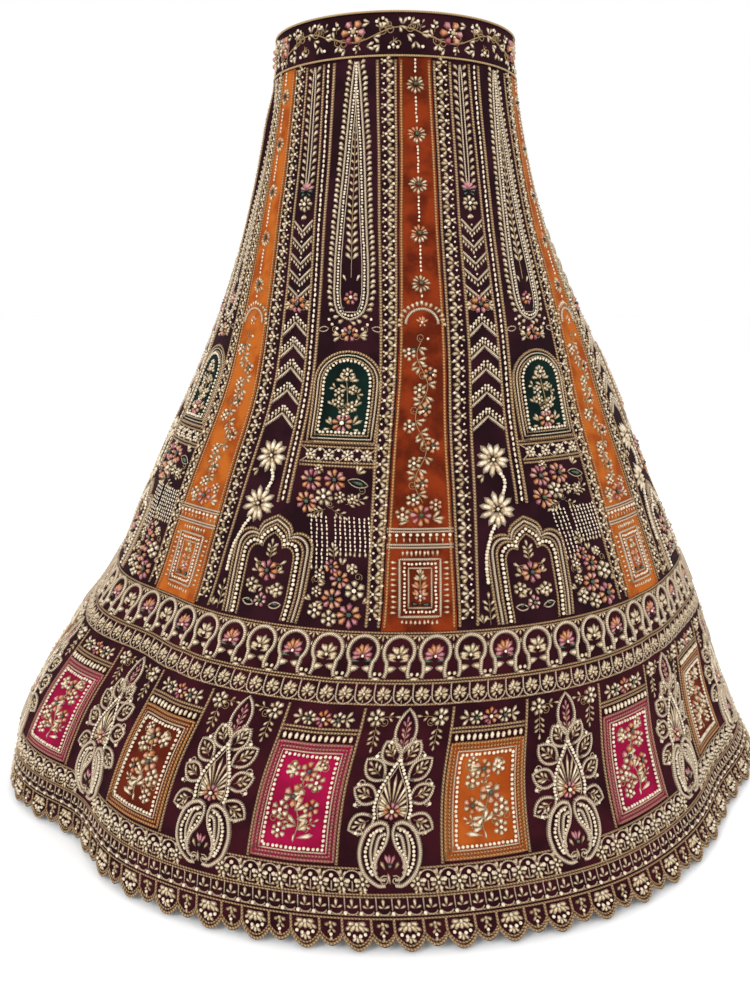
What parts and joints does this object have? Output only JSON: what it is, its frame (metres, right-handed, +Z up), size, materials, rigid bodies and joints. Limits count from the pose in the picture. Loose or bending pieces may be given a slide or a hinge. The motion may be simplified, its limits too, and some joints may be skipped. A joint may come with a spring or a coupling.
{
  "type": "lehenga skirt",
  "caption": "Floor-length flared lehenga skirt of panelled velvet with a waistband, square patches, arched windows and a scalloped hem, held open at the waist.",
  "frame": {"origin": "centre of the waist opening, half way up the waistband, where the wearer's waist holds the skirt", "axes": "+Z up out of the waist, -Y the front, +X the skirt's own widest way across the hem"},
  "size_m": [1.1251, 1.0285, 0.9816],
  "materials": {
    "maroon_velvet": "short-pile silk velvet, dark aubergine",
    "wine_velvet": "short-pile silk velvet, dark wine",
    "rust_velvet": "short-pile silk velvet, rust",
    "orange_velvet": "short-pile silk velvet, orange",
    "crimson_velvet": "short-pile silk velvet, crimson",
    "green_velvet": "short-pile silk velvet, bottle green",
    "gold_cord": "twisted gold thread",
    "silver_gold": "pale silver-gold metal thread and tube beads",
    "rose_thread": "silk floss in pink and peach",
    "pearl": "small imitation pearls and stones",
    "brass": "polished brass hook"
  },
  "bodies": {
    "root": {"waistband": "maroon_velvet", "waist_piping_top": "gold_cord", "waist_piping_bottom": "gold_cord", "waist_hook_1": "brass", "waist_hook_2": "brass", "waist_hook_bar_1": "brass", "waist_hook_bar_2": "brass", "rust_kali_1": "rust_velvet", "rust_kali_3": "rust_velvet", "rust_kali_5": "rust_velvet", "rust_kali_7": "rust_velvet", "orange_kali_2": "orange_velvet", "orange_kali_4": "orange_velvet", "orange_kali_6": "orange_velvet", "orange_kali_8": "orange_velvet", "maroon_kali_1": "maroon_velvet", "maroon_kali_2": "maroon_velvet", "maroon_kali_3": "maroon_velvet", "maroon_kali_4": "maroon_velvet", "maroon_kali_5": "maroon_velvet", "maroon_kali_6": "maroon_velvet", "maroon_kali_7": "maroon_velvet", "maroon_kali_8": "maroon_velvet", "green_window_1": "green_velvet", "green_window_2": "green_velvet", "green_window_3": "green_velvet", "green_window_4": "green_velvet", "green_window_5": "green_velvet", "green_window_6": "green_velvet", "green_window_7": "green_velvet", "green_window_8": "green_velvet", "arch_border_left": "wine_velvet", "arch_border_right": "wine_velvet", "lower_border_left": "wine_velvet", "lower_border_right": "wine_velvet", "scalloped_hem_left": "wine_velvet", "scalloped_hem_right": "wine_velvet", "orange_patch_1": "orange_velvet", "crimson_patch_2": "crimson_velvet", "rust_patch_3": "rust_velvet", "crimson_patch_4": "crimson_velvet", "orange_patch_5": "orange_velvet", "crimson_patch_6": "crimson_velvet", "rust_patch_7": "rust_velvet", "crimson_patch_8": "crimson_velvet", "orange_patch_9": "orange_velvet", "crimson_patch_10": "crimson_velvet", "rust_patch_11": "rust_velvet", "crimson_patch_12": "crimson_velvet", "orange_patch_13": "orange_velvet", "crimson_patch_14": "crimson_velvet", "rust_patch_15": "rust_velvet", "crimson_patch_16": "crimson_velvet"}
  },
  "joints": []
}
